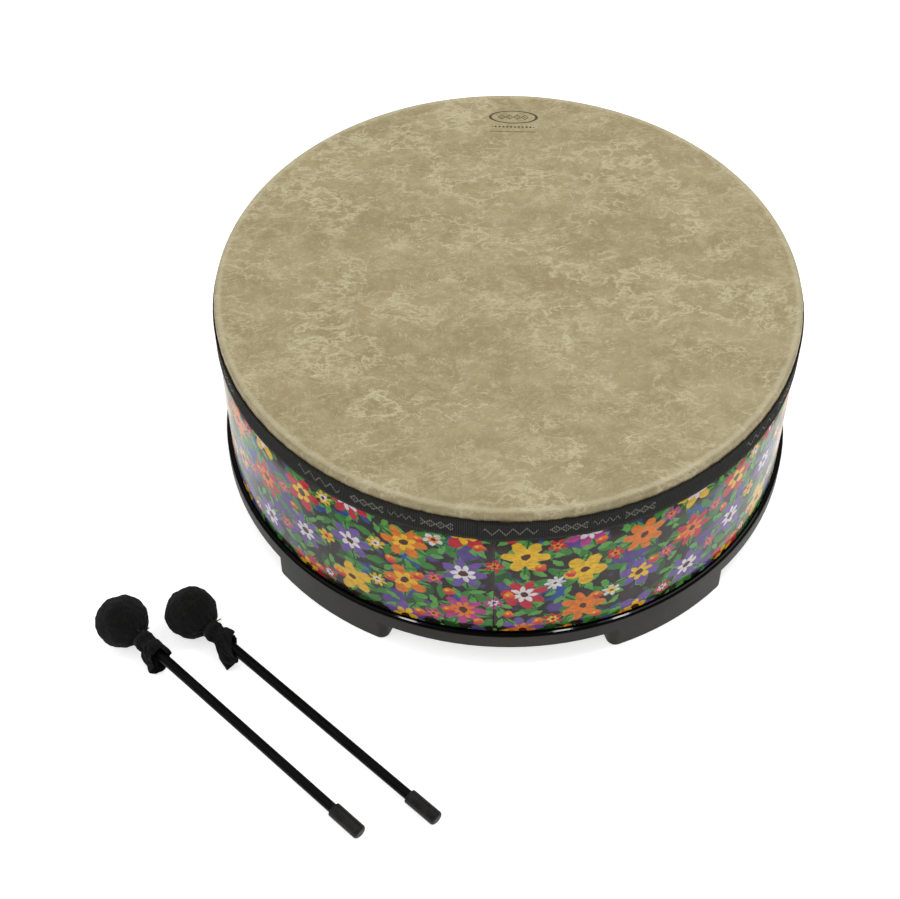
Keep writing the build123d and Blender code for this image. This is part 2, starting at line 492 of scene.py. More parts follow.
patches = cloud(tree, drawn_out(75, 42), 1.0, 7.0, 0.66, 0.3)
mottle = cloud(tree, curled, 0.11, 5.0, 0.66)
base = coat(tree, fade(tree, patches, 0.38, 0.62), TAN_DARK, TAN)
base = coat(tree, fade(tree, mottle, 0.42, 0.70, 0.0, 0.5), base, TAN_PALE)
cloudlets = cloud(tree, vector_calc(tree, "ADD", curled, (300, 0, 0)), 0.045, 4.0, 0.62)
base = coat(tree, fade(tree, cloudlets, 0.50, 0.34, 0.0, 0.5), base, TAN_DARK)
base = coat(tree, fade(tree, cloudlets, 0.52, 0.68, 0.0, 0.5), base, TAN_PALE)
vein_field = cloud(tree, drawn_out(62, 34), 1.0, 8.0, 0.68, 0.2)
vein_areas = fade(tree, cloud(tree, curled, 0.012, 3.0, 0.6), 0.40, 0.62, 0.1, 0.75)
vein, vein_mask = veins(vein_field, 0.52, 0.032, vein_areas)
base = coat(tree, vein_mask, base, VEIN)
fine_field = cloud(tree, drawn_out(26, 17, 0.3, (9, 4, 0)), 1.0, 5.0, 0.62, 0.4)
fine_areas = fade(tree, cloud(tree, curled, 0.022, 3.0, 0.6), 0.46, 0.62, 0.0, 0.7)
base = coat(tree, veins(fine_field, 0.5, 0.030, fine_areas)[1], base, VEIN)
fibre_layers = (  # turn in degrees, length and width in mm, amount, strength
    (28, 11, 1.5, 0.40, 0.42),
    (-14, 8, 1.5, 0.38, 0.34),
    (64, 7, 1.6, 0.38, 0.36),
    (108, 8, 1.5, 0.36, 0.34),
    (150, 5, 1.6, 0.36, 0.36),
)
for k, (degrees_turned, length, width, amount, strength) in enumerate(fibre_layers):
    moved = vector_calc(tree, "ADD", curled, (37.0 * k, 91.0 * k, 53.0 * k))
    strands = use_group(tree, fibres, {
        "Vector": moved, "Turn": radians(-degrees_turned), "Length": length, "Width": width, "Amount": amount,
    })
    near_veins = plus(tree, cloud(tree, moved, 0.028, 4.0, 0.65), times(tree, vein, 0.10))
    where = fade(tree, near_veins, 0.46, 0.66, 0.10, strength)
    base = coat(tree, times(tree, strands, where), base, CREAM)
flecks = fade(tree, cloud(tree, curled, 0.36, 3.0, 0.6), 0.60, 0.74, 0.0, 0.5)
base = coat(tree, flecks, base, CREAM)
flat_place = vector_calc(tree, "MULTIPLY", place, (1, 1, 0))
# Painted highlight: a lighter cream ring just inside the rim, where the film crests over the shell's edge,
# stands in for the light that the crest catches.
from_axis = plus(tree, vector_calc(tree, "LENGTH", flat_place), fade(tree, mottle, 0.3, 0.7, -0.8, 0.8))
crest_highlight = times(tree, fade(tree, from_axis, 270.5, 274.5), fade(tree, from_axis, 278.5, 276.5, 0.0, 0.42))
base = coat(tree, crest_highlight, base, colour(208, 199, 168))
print(len(fibre_layers), "layers of fibres")

# %% [markdown]
# A small plain ornament is printed in dark ink near the far edge: an oval with diamonds in it, a row of
# dots and a line. The marks are distances cut off at a width, as a compass and ruler would draw them.

# %% Printed ornament
INK = colour(58, 50, 32)
ORNAMENT = (1.0, 236.0)


def diamonds(tree, x, y, pitch, half_height, thickness=0.75):
    """A row of open diamonds with a dot in each."""
    across = size_of(tree, minus(tree, calc(tree, "FLOORED_MODULO", x, pitch), pitch / 2))
    reach = plus(tree, across, size_of(tree, y))
    ring = size_of(tree, minus(tree, reach, half_height))
    return larger(tree, fade(tree, ring, thickness + 0.2, thickness - 0.2), fade(tree, reach, 1.2, 0.8))


def between(tree, value, start, end):
    """1 between start and end, else 0."""
    return times(tree, fade(tree, value, start, start + 0.3), fade(tree, value, end, end - 0.3))


ink_x = minus(tree, part(tree, place, "X"), ORNAMENT[0])
ink_y = minus(tree, part(tree, place, "Y"), ORNAMENT[1])
OVAL_HALF = (24.0, 9.5)
oval_y = minus(tree, ink_y, 6.0)
oval = point(tree, calc(tree, "DIVIDE", ink_x, OVAL_HALF[0]), calc(tree, "DIVIDE", oval_y, OVAL_HALF[1]))
oval_off = size_of(tree, minus(tree, vector_calc(tree, "LENGTH", oval), 1.0))
ink = fade(tree, oval_off, 0.075, 0.045)
row = diamonds(tree, ink_x, oval_y, 8.0, 3.4, 0.6)
ink = larger(tree, ink, times(tree, row, between(tree, ink_x, -16, 16)))
line = times(tree, between(tree, ink_y, -17.5, -16.4), between(tree, ink_x, -24, 24))
dot_x = minus(tree, calc(tree, "FLOORED_MODULO", ink_x, 4.0), 2.0)
dot = point(tree, dot_x, plus(tree, ink_y, 9.5))
dots = times(tree, fade(tree, vector_calc(tree, "LENGTH", dot), 1.4, 1.0), between(tree, ink_x, -22, 22))
ink = larger(tree, ink, larger(tree, line, dots))
ink = times(tree, ink, fade(tree, part(tree, place, "Z"), 1000 * HEAD_HEIGHT - 3, 1000 * HEAD_HEIGHT - 2))
base = coat(tree, times(tree, ink, fade(tree, mottle, 0.2, 0.5, 0.55, 0.9)), base, INK)

relief = plus(tree, cloud(tree, curled, 0.35, 4.0, 0.6), times(tree, patches, 2.0))
finish_shader(
    tree, shader, base,
    roughness=fade(tree, mottle, 0.3, 0.7, 0.38, 0.52),
    normal=bump(tree, relief, 0.25, 0.0002),
)

playing_head = finish_piece("playing_head", head_mesh, "drum", head_film, ["drumhead_film"])
thicken(playing_head, FILM_THICKNESS, -1)

# %% [markdown]
# ## The bare shell
#
# The shell is hardly seen: only its bare wooden inside shows, from below. Its CAD mesh is right as it
# is, so it only needs a finish, which is wood fibre pressed into layers and sealed with a thin coat.

# %% Shell material
BOARD_DARK = colour(92, 66, 42)
BOARD_PALE = colour(139, 108, 74)

shell_board, tree, shader = start_material("shell_board", {"Specular IOR Level": 0.3})
place = object_millimetres(tree)
around = put(tree, "Mapping", {"Vector": place, "Scale": (0.05, 0.05, 1.1)}).outputs[0]
layers = cloud(tree, around, 1.0, 5.0, 0.6, 0.5)
flecks = cloud(tree, place, 0.4, 3.0, 0.7)
board = coat(tree, fade(tree, layers, 0.35, 0.65), BOARD_DARK, BOARD_PALE)
board = coat(tree, fade(tree, flecks, 0.58, 0.72, 0.0, 0.6), board, BOARD_DARK)
finish_shader(
    tree, shader, board,
    roughness=fade(tree, flecks, 0.3, 0.7, 0.5, 0.72),
    normal=bump(tree, plus(tree, layers, flecks), 0.3, 0.0002),
)
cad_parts["shell"].data.materials[0] = shell_board
print("shell: its CAD mesh, in", shell_board.name)

# %% [markdown]
# ## The woven band
#
# The band is polyester webbing an inch wide, glued over the film's edge. Its ribs stand upright, about
# one and a half millimetres apart, and its end laps over its start near the front. Ribs this bold catch
# the light one by one, so they are real shape and not bump: a flat strip is cut into four columns for
# each rib, pushed in and out by a wave, and wound round the drum on a spiral that lets the end lap over.

# %% Band mesh
WEBBING_THICKNESS = 1.4 * MM
RIB_PITCH = 1.55 * MM
RIB_DEPTH = 0.5 * MM
COLUMNS_PER_RIB = 4
LAP_END_AT = radians(-94)
LAP_LENGTH = 20 * MM
LAP_RAMP = 16 * MM
EDGE_STEP = 1.1 * MM
STEP_LENGTH = 8 * MM

band_height = band_high.z - band_low.z
band_length = tau * BAND_RADIUS + LAP_LENGTH
band_columns = round(band_length / RIB_PITCH) * COLUMNS_PER_RIB
band_mesh = flat_strip(band_length, band_height, band_columns, 6)
for vert in band_mesh.verts:
    x, y = vert.co.xy
    angle = LAP_END_AT + x / BAND_RADIUS
    near_end = 1 - min(1, max(0, (x - LAP_LENGTH) / LAP_RAMP))
    lift = WEBBING_THICKNESS * near_end * near_end * (3 - 2 * near_end)
    inside_edge = min(1, 9 * min(y, band_height - y) / band_height)
    rib = RIB_DEPTH * (abs(sin(pi * x / RIB_PITCH)) - 1) * inside_edge
    wobble = noise.noise(Vector((x / STEP_LENGTH, 0, 7)))
    wobble += 0.5 * noise.noise(Vector((3.1 * x / STEP_LENGTH, 0, 3)))
    edge = EDGE_STEP * wobble * max(0, 2 * y / band_height - 1)
    radius = BAND_RADIUS + lift + rib
    vert.co = (radius * cos(angle), radius * sin(angle), band_low.z + y + edge)
print("band:", band_columns // COLUMNS_PER_RIB, "rib_shade_wave")

# %% [markdown]
# ## The band's colour
#
# The yarn is black. Pale grey marks are woven in along the middle: zigzags, diamonds and dots in groups.
# They are drawn from the strip's own flat coordinates, in millimetres, so they follow the weave: the
# place inside a repeat picks which mark is due, and each mark is a distance that is cut off at a width.

# %% Band material
YARN_BLACK = colour(46, 46, 42)
YARN_WORN = colour(62, 61, 55)
YARN_PALE = colour(146, 145, 135)
MARK_REPEAT = 264.0
MARK_MIDDLE = 13.0
MARK_HALF_HEIGHT = 4.2
ZIGZAG_SPAN = (6, 54)
WAVE_SPAN = (102, 128)
DIAMOND_SPANS = ((64, 98), (132, 162))


def zigzag(tree, x, y, pitch, half_height, thickness):
    """A zigzag line running along x."""
    wave = minus(tree, calc(tree, "PINGPONG", x, pitch / 2), pitch / 4)
    off = size_of(tree, minus(tree, y, times(tree, wave, 4 * half_height / pitch)))
    return fade(tree, off, thickness, thickness - 0.5)


webbing_cloth, tree, shader = start_material(
    "webbing_cloth", {"Specular IOR Level": 0.12, "Sheen Weight": 0.04, "Sheen Roughness": 0.5}
)
flat = flat_millimetres(tree)
along, up = part(tree, flat, "X"), minus(tree, part(tree, flat, "Y"), MARK_MIDDLE)
spot = calc(tree, "FLOORED_MODULO", plus(tree, along, 2.0), MARK_REPEAT)
marks = times(tree, between(tree, spot, *ZIGZAG_SPAN), zigzag(tree, along, up, 12, MARK_HALF_HEIGHT, 1.3))
row = diamonds(tree, along, up, 9, MARK_HALF_HEIGHT, 1.1)
for span in DIAMOND_SPANS:
    marks = larger(tree, marks, times(tree, between(tree, spot, *span), row))
wave_row = zigzag(tree, along, up, 7, 0.7 * MARK_HALF_HEIGHT, 1.1)
marks = larger(tree, marks, times(tree, between(tree, spot, *WAVE_SPAN), wave_row))
rib_shade_wave = size_of(tree, calc(tree, "SINE", times(tree, along, pi / (RIB_PITCH / MM))))
weft = size_of(tree, calc(tree, "SINE", times(tree, up, pi / 0.55)))
wear = cloud(tree, flat, 0.05, 4.0, 0.6)
yarn = coat(tree, fade(tree, wear, 0.35, 0.75), YARN_BLACK, YARN_WORN)
yarn = coat(tree, times(tree, marks, fade(tree, weft, 0.0, 0.5, 0.6, 0.9)), yarn, YARN_PALE)
# Painted shade: the yarn is made near black in the valleys between the ribs, standing in for the shade that
# falls between them.
yarn = coat(tree, fade(tree, rib_shade_wave, 0.9, 0.25, 0.0, 0.92), yarn, colour(5, 5, 5))
finish_shader(
    tree, shader, yarn,
    roughness=fade(tree, wear, 0.3, 0.7, 0.7, 0.85),
    normal=bump(tree, weft, 0.4, 0.00012),
)

woven_band = finish_piece("woven_band", band_mesh, "drum", webbing_cloth, ["head_webbing"])
thicken(woven_band, 0.75 * WEBBING_THICKNESS, -1)

# %% [markdown]
# ## The printed wrap
#
# The side of the shell carries one long sheet of printed laminate, cut to length and butted at a seam
# near the front. The pattern on it repeats four times round the drum, so that it closes at the seam.
# The sheet is a plain strip bent to a cylinder; its UV map keeps the flat millimetres to draw in.

# %% Wrap mesh
SEAM_AT = radians(-91)
SEAM_GAP = 0.4 * MM
WRAP_THICKNESS = 0.6 * MM

wrap_length = tau * WRAP_RADIUS - SEAM_GAP
wrap_mesh = flat_strip(wrap_length, wrap_high.z - wrap_low.z, 720, 6)
for vert in wrap_mesh.verts:
    x, y = vert.co.xy
    angle = SEAM_AT + (x + SEAM_GAP / 2) / WRAP_RADIUS
    vert.co = (WRAP_RADIUS * cos(angle), WRAP_RADIUS * sin(angle), wrap_low.z + y)
print(f"wrap: {wrap_length / MM:.0f} mm long, {(wrap_high.z - wrap_low.z) / MM:.0f} mm high")

# %% [markdown]
# ## Tools for the print
#
# The print is a plain all-over flower pattern, painted in coats: dark ground, violet and blue washes,
# leaves, flowers and fruit. Three groups make the masks: a leaf-shaped spot, a flower's petals and a
# scatter of small leaves. A fourth lays out a half-drop grid, the way printed cloth and paper
# repeat, and gives each cell its own luck, so that the flowers of one repeat differ.

# %% Spot and petal groups
painted_spot, given, result = start_group("painted_spot", {
    "Vector": "Vector", "Half": "Vector", "Turn": "Float", "Point": "Float",
}, ["Mask", "Depth"])
tree = painted_spot
turning = {"Vector": given["Vector"], "Angle": given["Turn"]}
turned = put(tree, "VectorRotate", turning, rotation_type="Z_AXIS", invert=True)
share = vector_calc(tree, "DIVIDE", turned.outputs[0], given["Half"])
long_square = calc(tree, "POWER", size_of(tree, part(tree, share, "X")), 2.0)
narrowing = larger(tree, minus(tree, 1.0, times(tree, given["Point"], long_square)), 0.1)
wide = calc(tree, "DIVIDE", part(tree, share, "Y"), narrowing)
spread = plus(tree, long_square, times(tree, wide, wide))
tree.links.new(fade(tree, spread, 1.04, 0.96), result["Mask"])
tree.links.new(size_of(tree, part(tree, share, "Y")), result["Depth"])

petals, given, result = start_group("petals", {
    "Vector": "Vector", "Radius": "Float", "Count": "Float", "Turn": "Float",
}, ["Mask"])
tree = petals
bearing = calc(tree, "ARCTAN2", part(tree, given["Vector"], "Y"), part(tree, given["Vector"], "X"))
phase = times(tree, minus(tree, bearing, given["Turn"]), times(tree, given["Count"], 0.5))
roundness = calc(tree, "POWER", size_of(tree, calc(tree, "COSINE", phase)), 0.8)
petal_edge = plus(tree, 0.35, times(tree, roundness, 0.65))
away = calc(tree, "DIVIDE", vector_calc(tree, "LENGTH", given["Vector"]), given["Radius"])
tree.links.new(fade(tree, minus(tree, away, petal_edge), 0.04, -0.04), result["Mask"])
print("groups:", painted_spot.name, petals.name)

# %% Leaf scatter and repeat grid groups
leaf_scatter, given, result = start_group("leaf_scatter", {
    "Vector": "Vector", "Size": "Float", "Fatness": "Float", "Seed": "Float",
}, ["Mask", "Tone"])
tree = leaf_scatter
seeded = vector_calc(tree, "ADD", given["Vector"], point(tree, given["Seed"], given["Seed"]))
size = point(tree, given["Size"], given["Size"], 1.0)
scaled = vector_calc(tree, "DIVIDE", seeded, size)
cells = put(tree, "TexVoronoi", {"Vector": scaled, "Scale": 1.0}, voronoi_dimensions="2D")
here = vector_calc(tree, "SUBTRACT", scaled, cells.outputs["Position"])
luck = put(tree, "SeparateXYZ", {0: cells.outputs["Color"]}).outputs
leaf_turn = times(tree, luck[0], tau)
turned = put(tree, "VectorRotate", {"Vector": here, "Angle": leaf_turn}, rotation_type="Z_AXIS").outputs[0]
long_way, wide_way = part(tree, turned, "X"), size_of(tree, part(tree, turned, "Y"))
bulge = minus(tree, 0.30, times(tree, times(tree, long_way, long_way), 1.1))
inside = minus(tree, times(tree, bulge, given["Fatness"]), wide_way)
tree.links.new(fade(tree, inside, -0.015, 0.015), result["Mask"])
tree.links.new(luck[1], result["Tone"])

repeat_grid, given, result = start_group("repeat_grid", {
    "Vector": "Vector", "Pitch": "Float", "Row": "Float", "Columns": "Float", "Seed": "Float",
}, ["Across", "Up", "Luck", "Tint", "Spin"])
tree = repeat_grid
across = calc(tree, "DIVIDE", part(tree, given["Vector"], "X"), given["Pitch"])
column = calc(tree, "FLOOR", across)
drop = times(tree, calc(tree, "FLOORED_MODULO", column, 2.0), 0.5)
up = plus(tree, calc(tree, "DIVIDE", part(tree, given["Vector"], "Y"), given["Row"]), drop)
column_in_repeat = calc(tree, "FLOORED_MODULO", column, given["Columns"])
cell = point(tree, column_in_repeat, calc(tree, "FLOOR", up), given["Seed"])
drawn = put(tree, "TexWhiteNoise", {"Vector": cell}, noise_dimensions="3D")
lucks = put(tree, "SeparateXYZ", {0: drawn.outputs["Color"]}).outputs
for place_in_cell, cell_size, name in ((across, given["Pitch"], "Across"), (up, given["Row"], "Up")):
    from_middle = minus(tree, calc(tree, "FRACT", place_in_cell), 0.5)
    tree.links.new(times(tree, from_middle, cell_size), result[name])
for number, name in enumerate(("Luck", "Tint", "Spin")):
    tree.links.new(lucks[number], result[name])
print("groups:", leaf_scatter.name, repeat_grid.name)

# %% [markdown]
# ## Painting the print
#
# We start with the flat coordinates and shake them a little, so that every edge looks hand painted. The
# grid's pitch divides the sheet's length evenly, so the pattern closes at the seam. Each coat goes over
# the last: washes, leaves, large flowers, small flowers half a cell away, and a few round fruit.

# %% Print: coordinates and ground
GROUND = colour(34, 29, 27)
GROUND_WARM = colour(54, 43, 36)
LEAF_DARK = colour(40, 84, 40)
LEAF_MID = colour(60, 132, 54)
LEAF_PALE = colour(98, 168, 78)
WASH_VIOLET = colour(90, 73, 138)
WASH_BLUE = colour(44, 84, 156)

wrap_print, tree, shader = start_material("wrap_print", {"Specular IOR Level": 0.17})
flat = flat_millimetres(tree)


def shake(tree, vector, pattern_scale, distance):
    """Moves points about by up to half the distance, in millimetres."""
    drift = put(tree, "TexNoise", {"Vector": vector, "Scale": pattern_scale, "Detail": 2.0}).outputs["Color"]
    drift = vector_calc(tree, "SUBTRACT", drift, (0.5, 0.5, 0.5))
    return vector_calc(tree, "ADD", vector, vector_calc(tree, "MULTIPLY", drift, (distance, distance, 0)))


def wait_for_paint(vector):
    """The same place, but worked out only after the coats so far: the renderer has room for
    about 250 numbers at a time, and would otherwise start on every coat at once."""
    return vector_calc(tree, "ADD", vector, vector_calc(tree, "MULTIPLY", paint, (1e-6, 1e-6, 1e-6)))


def leaves(size, fatness, seed):
    """A scatter of small leaves: its mask, and a random tone for each leaf."""
    node = place_group(tree, leaf_scatter, {"Vector": painted, "Size": size, "Fatness": fatness, "Seed": seed})
    return node.outputs["Mask"], node.outputs["Tone"]


painted = shake(tree, shake(tree, flat, 0.07, 7.0), 0.45, 2.2)
brush = cloud(tree, put(tree, "Mapping", {
    "Vector": painted, "Rotation": (0, 0, radians(35)), "Scale": (0.07, 0.42, 1),
}).outputs[0], 1.0, 4.0, 0.6)
blotch = cloud(tree, painted, 0.055, 4.0, 0.55)
paint = coat(tree, fade(tree, blotch, 0.35, 0.65), GROUND, GROUND_WARM)
paint = coat(tree, fade(tree, cloud(tree, painted, 0.016, 3.0), 0.53, 0.56), paint, WASH_VIOLET)
paint = coat(tree, fade(tree, cloud(tree, painted, 0.020, 3.0), 0.41, 0.38), paint, WASH_BLUE)
SMALL_LEAVES = (  # cell size in mm, fatness, seed, colour
    (26.0, 0.9, 3.0, LEAF_DARK), (20.0, 0.8, 47.0, LEAF_MID), (15.0, 0.7, 88.0, LEAF_PALE),
)
for size, fatness, seed, tint in SMALL_LEAVES:
    mask, tone = leaves(size, fatness, seed)
    paint = coat(tree, times(tree, mask, fade(tree, tone, 0.38, 0.46)), paint, tint)
print("ground and small leaves painted")

# %% Print: flowers
RED = colour(206, 46, 66)
ORANGE = colour(242, 130, 38)
GOLD = colour(248, 196, 48)
PINK = colour(196, 70, 150)
VIOLET = colour(120, 92, 172)
PALE = colour(236, 230, 232)
HEART_BROWN = colour(84, 44, 26)
GRID_COLUMNS = 32
REPEAT_COLUMNS = 8
FLOWER_ROW = 56.0
MIDDLE_SHARE = 0.55  # of a flower's radius


def pick(luck, tints):
    """One of several colours, by a number from 0 to 1."""
    chosen = tints[0]
    for number, tint in enumerate(tints[1:], 1):
        chosen = coat(tree, fade(tree, luck, number / len(tints), number / len(tints) + 0.001), chosen, tint)
    return chosen


def flower_bed(shift, radius, leaf_half, outer_tints, inner_tints, seed):
    """Paints a flower in the middle of each cell of a grid, over two long leaves that cross behind it."""
    pitch = wrap_length / MM / GRID_COLUMNS
    moved = vector_calc(tree, "ADD", wait_for_paint(painted), (shift[0] * pitch, shift[1] * FLOWER_ROW, 0))
    grid = place_group(tree, repeat_grid, {
        "Vector": moved, "Pitch": pitch, "Row": FLOWER_ROW, "Columns": float(REPEAT_COLUMNS), "Seed": seed,
    }).outputs
    here = point(tree, grid["Across"], grid["Up"])
    spin = times(tree, grid["Spin"], tau)
    layers = paint
    for lean in (0.5, 2.1):
        leaf = place_group(tree, painted_spot, {
            "Vector": here, "Half": (*leaf_half, 1), "Turn": plus(tree, spin, lean), "Point": 0.6,
        })
        green = coat(tree, fade(tree, brush, 0.4, 0.6), LEAF_MID, LEAF_PALE)
        green = coat(tree, fade(tree, leaf.outputs["Depth"], 0.16, 0.08), green, LEAF_DARK)
        layers = coat(tree, leaf.outputs["Mask"], layers, green)
    count = calc(tree, "ROUND", plus(tree, 5.0, times(tree, grid["Luck"], 3.0)))
    outer = pick(grid["Tint"], outer_tints)
    outer = coat(tree, fade(tree, brush, 0.42, 0.66, 0.0, 0.35), outer, HEART_BROWN)
    whole = use_group(tree, petals, {"Vector": here, "Radius": radius, "Count": count, "Turn": spin})
    layers = coat(tree, whole, layers, outer)
    middle = use_group(tree, petals, {
        "Vector": here, "Radius": MIDDLE_SHARE * radius, "Count": count, "Turn": plus(tree, spin, 0.5),
    })
    layers = coat(tree, middle, layers, pick(grid["Luck"], inner_tints))
    heart = fade(tree, vector_calc(tree, "LENGTH", here), 0.2 * radius, 0.17 * radius)
    return coat(tree, heart, layers, HEART_BROWN)


FLOWER_BEDS = (  # shift in cells, radius, half size of a leaf, outer colours, inner colours, seed
    ((0, 0.2), 22.0, (27.0, 8.0), (RED, VIOLET, GOLD, ORANGE, PINK), (GOLD, PALE, ORANGE), 5.0),
    ((0.5, 0.45), 9.5, (14.0, 3.6), (GOLD, PALE, RED, PINK), (ORANGE, GOLD, PALE), 12.0),
)
for bed in FLOWER_BEDS:
    paint = flower_bed(*bed)
print(GRID_COLUMNS, "columns of flowers, repeating every", REPEAT_COLUMNS)

# %% Print: fruit
FRUIT_COLUMNS = 64
FRUIT_ROW = 28.0
FRUIT_RADIUS = 5.4
FRUIT_LUCK = 0.70  # cells with more luck than this get a fruit

picked = place_group(tree, repeat_grid, {
    "Vector": wait_for_paint(painted), "Pitch": wrap_length / MM / FRUIT_COLUMNS, "Row": FRUIT_ROW,
    "Columns": FRUIT_COLUMNS * REPEAT_COLUMNS / GRID_COLUMNS, "Seed": 29.0,
}).outputs
here = point(tree, picked["Across"], picked["Up"])
round_fruit = fade(tree, vector_calc(tree, "LENGTH", here), FRUIT_RADIUS + 0.4, FRUIT_RADIUS - 0.4)
shine_place = vector_calc(tree, "SUBTRACT", here, (-1.6, 1.8, 0))
shine = fade(tree, vector_calc(tree, "LENGTH", shine_place), 2.0, 1.2)
skin = coat(tree, shine, coat(tree, fade(tree, picked["Up"], -4.0, 4.0), RED, ORANGE), GOLD)
few = fade(tree, picked["Luck"], FRUIT_LUCK, FRUIT_LUCK + 0.01)
paint = coat(tree, times(tree, round_fruit, few), paint, skin)
print("fruit radius:", FRUIT_RADIUS, "mm")

# %% Print: margin and gloss
MARGIN = 15.2
paint = coat(tree, fade(tree, part(tree, flat, "Y"), MARGIN + 0.4, MARGIN - 0.4), paint, colour(10, 10, 11))
lighter = coat(tree, fade(tree, brush, 0.38, 0.68, 0.0, 0.16), paint, colour(235, 232, 215), "SOFT_LIGHT")
worn = fade(tree, cloud(tree, painted, 0.16, 4.0, 0.6), 0.58, 0.34, 0.0, 0.22)
darker = coat(tree, worn, lighter, colour(60, 52, 66), "MULTIPLY")
orange_peel = cloud(tree, flat, 0.08, 2.0)
finish_shader(
    tree, shader, darker,
    roughness=fade(tree, cloud(tree, flat, 0.02, 3.0), 0.3, 0.7, 0.16, 0.26),
    normal=bump(tree, orange_peel, 0.12, 0.0006),
)

printed_wrap = finish_piece("printed_wrap", wrap_mesh, "drum", wrap_print, ["shell_wrap"])
thicken(printed_wrap, WRAP_THICKNESS, -1)
print("print:", len(tree.nodes), "nodes")

# %% [markdown]
# ## The foot ring
#
# The ring is one black moulding. Its narrow ledge came off a polished part of the mould, and its wall
# off a fine-grained part, so gloss changes with height. The CAD mesh already has the rounded ledge and
# the feet, so only the material is new: grain bump on the wall, and dust and scuffs where it is handled.
# A moulding needs draft to leave its mould, so the bump also tips the ledge gently outwards.

# %% Ring material
RING_BLACK = colour(26, 25, 19)
RING_DUSTY = colour(43, 41, 32)
DRAFT_SLOPE = 0.3
RING_TOP = ring_high.z / MM

ring_plastic, tree, shader = start_material("ring_plastic", {"Specular IOR Level": 0.16})
place = object_millimetres(tree)
height = part(tree, place, "Z")
polished = fade(tree, height, RING_TOP - 1.6, RING_TOP - 1.0)
level = vector_calc(tree, "MULTIPLY", place, (1, 1, 0))
draft = times(tree, vector_calc(tree, "LENGTH", level), -DRAFT_SLOPE)
grain = use_group(tree, mould_grain, {"Vector": place, "Size": 0.9})
dust = cloud(tree, place, 0.012, 5.0, 0.6)
wall = coat(tree, fade(tree, dust, 0.35, 0.7), RING_BLACK, RING_DUSTY)
wall = coat(tree, fade(tree, cloud(tree, place, 0.3, 4.0, 0.7), 0.60, 0.74, 0.0, 0.4), wall, colour(66, 64, 56))
on_top = fade(tree, height, RING_TOP - 0.4, RING_TOP - 0.1)
rough_height = times(tree, grain, times(tree, minus(tree, 1.0, polished), 0.05))
relief = plus(tree, rough_height, times(tree, draft, on_top))
finish_shader(
    tree, shader, coat(tree, polished, wall, colour(6, 6, 6)),
    roughness=fade(tree, polished, 0.0, 1.0, 0.46, 0.05),
    normal=bump(tree, relief, 1.0, 0.001),
)
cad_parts["foot_ring"].data.materials[0] = ring_plastic
print("foot ring: its CAD mesh, in", ring_plastic.name)

# %% [markdown]
# ## The mallets
#
# Two mallets lie on the floor beside the drum. Each is a black plastic rod with a rubber cap on its butt
# and a hard ball on its head, hidden in a fleece cover that is tied off at the neck with thread.
# Rods and caps keep their CAD meshes; we give them moulded plastic and matt rubber.

# %% Rod and cap materials
rod_plastic, tree, shader = start_material("rod_plastic", {"Specular IOR Level": 0.07})
place = object_millimetres(tree)
haze = cloud(tree, place, 0.05, 4.0, 0.6)
scuffs = use_group(tree, fibres, {
    "Vector": place, "Turn": radians(40), "Length": 14.0, "Width": 0.7, "Amount": 0.34,
})
rod_base = coat(tree, fade(tree, haze, 0.35, 0.7), colour(7, 7, 7), colour(14, 14, 14))
rod_base = coat(tree, times(tree, scuffs, 0.35), rod_base, colour(48, 48, 48))
rod_grain = use_group(tree, mould_grain, {"Vector": place, "Size": 0.7})
finish_shader(
    tree, shader, rod_base,
    roughness=fade(tree, haze, 0.3, 0.7, 0.30, 0.42),
    normal=bump(tree, rod_grain, 0.2, 0.0001),
)

cap_rubber, tree, shader = start_material("cap_rubber", {"Specular IOR Level": 0.2})
place = object_millimetres(tree)
bloom = cloud(tree, place, 0.11, 4.0, 0.65)
cap_base = coat(tree, fade(tree, bloom, 0.35, 0.72), colour(20, 20, 19), colour(42, 40, 37))
cap_grain = use_group(tree, mould_grain, {"Vector": place, "Size": 0.5})
finish_shader(
    tree, shader, cap_base,
    roughness=fade(tree, bloom, 0.3, 0.7, 0.42, 0.60),
    normal=bump(tree, cap_grain, 0.35, 0.00012),
)

core_rubber, tree, shader = start_material("core_rubber", {"Specular IOR Level": 0.3, "Roughness": 0.7})
core_base = coat(tree, cloud(tree, object_millimetres(tree), 0.4, 3.0), colour(58, 54, 50), colour(84, 78, 72))
finish_shader(tree, shader, core_base)

for side in ("left", "right"):
    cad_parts[f"mallet_{side}_rod"].data.materials[0] = rod_plastic
    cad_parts[f"mallet_{side}_end_cap"].data.materials[0] = cap_rubber
    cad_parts[f"mallet_{side}_ball_core"].data.materials[0] = core_rubber
print("rods, caps and cores: their CAD meshes")

# %% [markdown]
# Fleece has a short nap that swallows light, so it is nearly black, very rough, and has a slight sheen
# where it is seen edge on. Its bump is two sizes of noise: tufts, and the hairs between them.

# %% Fleece and thread materials
fleece, tree, shader = start_material(
    "fleece", {"Specular IOR Level": 0.08, "Roughness": 0.95, "Sheen Weight": 0.06, "Sheen Roughness": 0.6}
)
place = object_millimetres(tree)
tufts = cloud(tree, place, 0.55, 4.0, 0.7)
worn = cloud(tree, place, 0.06, 3.0, 0.6)
nap = coat(tree, fade(tree, tufts, 0.35, 0.7), colour(9, 9, 9), colour(24, 24, 23))
nap = coat(tree, fade(tree, worn, 0.50, 0.75, 0.0, 0.5), nap, colour(34, 33, 31))
finish_shader(
    tree, shader, nap,
    normal=bump(tree, plus(tree, tufts, cloud(tree, place, 2.2, 2.0, 0.6)), 0.8, 0.0007),
)

